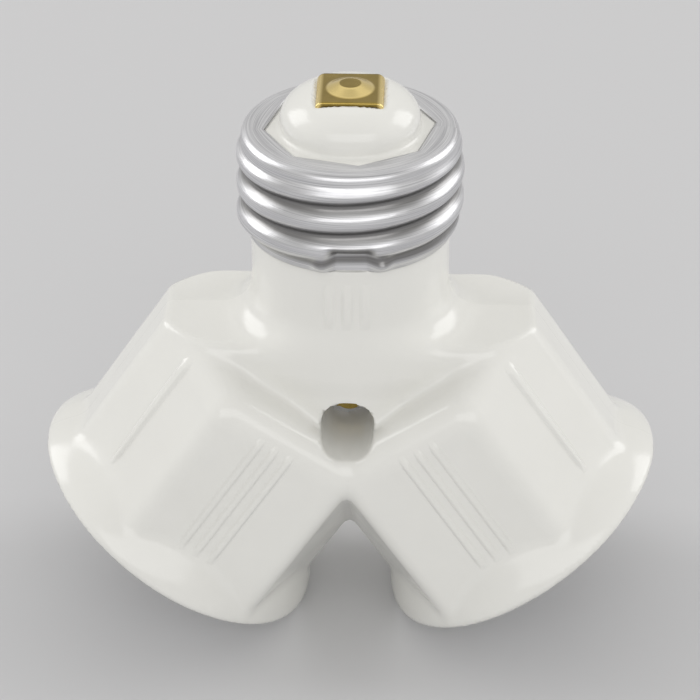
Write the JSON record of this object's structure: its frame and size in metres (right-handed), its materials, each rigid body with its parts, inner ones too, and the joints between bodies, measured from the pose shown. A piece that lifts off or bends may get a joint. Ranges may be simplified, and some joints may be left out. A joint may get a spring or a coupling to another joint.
{
  "type": "lamp socket adapter",
  "caption": "Y-shaped lamp socket adapter: a medium screw base with a brass tip contact above splayed lamp sockets, in one glossy white moulding.",
  "frame": {"origin": "on the screw base's axis, at the lower edge of its screw shell", "axes": "+Z along the base's axis towards the tip contact, +X towards the right-hand lamp socket, -Y the front with the cross hole and the shell's stake"},
  "size_m": [0.0732, 0.038, 0.069],
  "materials": {
    "white_plastic": "glossy moulded",
    "shell_aluminium": "satin rolled sheet",
    "contact_brass": "satin stamped strip"
  },
  "bodies": {
    "root": {"moulded_body": "white_plastic", "base_screw_shell": "shell_aluminium", "tip_contact": "contact_brass", "left_socket_shell": "shell_aluminium", "right_socket_shell": "shell_aluminium", "shell_link": "contact_brass", "shell_rivet": "contact_brass"}
  },
  "joints": []
}
